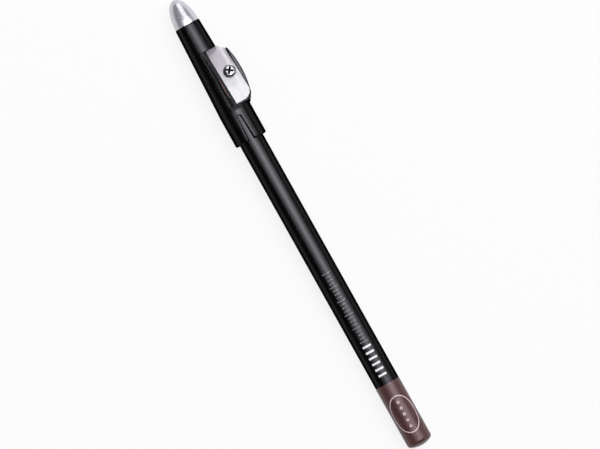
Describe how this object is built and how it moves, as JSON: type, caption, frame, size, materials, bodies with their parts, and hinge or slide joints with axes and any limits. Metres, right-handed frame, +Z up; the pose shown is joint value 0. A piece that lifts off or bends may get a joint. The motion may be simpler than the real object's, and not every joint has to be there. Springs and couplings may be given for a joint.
{
  "type": "eyeliner pencil",
  "caption": "Wood-cased eyeliner pencil with a dipped end, lying in a slotted cap that has a screwed-on sharpener blade and a bullet-shaped tip plug.",
  "frame": {"origin": "centre of the resting object's footprint, on the surface that it lies on", "axes": "+X from the tip plug to the butt, +Y from the pencil's axis to the sharpener housing, +Z up, with the blade facing up"},
  "size_m": [0.1454, 0.0126, 0.0099],
  "materials": {
    "lead": "waxy, matt",
    "wood": "bare, freshly cut",
    "lacquer": "semi-gloss black lacquer",
    "dip": "semi-gloss brown dipped coat",
    "cap_plastic": "semi-gloss black moulding",
    "tip_metal": "satin metallised",
    "blade_steel": "ground along the blade",
    "screw_steel": "plain"
  },
  "bodies": {
    "pencil": {"lead": "lead", "wood_slat_upper": "wood", "wood_slat_lower": "wood", "lacquer_coat": "lacquer", "end_dip": "dip"},
    "cap": {"cap_shell": "cap_plastic", "tip_plug": "tip_metal", "blade": "blade_steel", "screw": "screw_steel"}
  },
  "joints": [
    {"name": "cap_pull", "type": "slide", "parent": "pencil", "child": "cap", "axis": [-0.9999, 0, 0.0112], "range_m": [0, 0.035]}
  ]
}
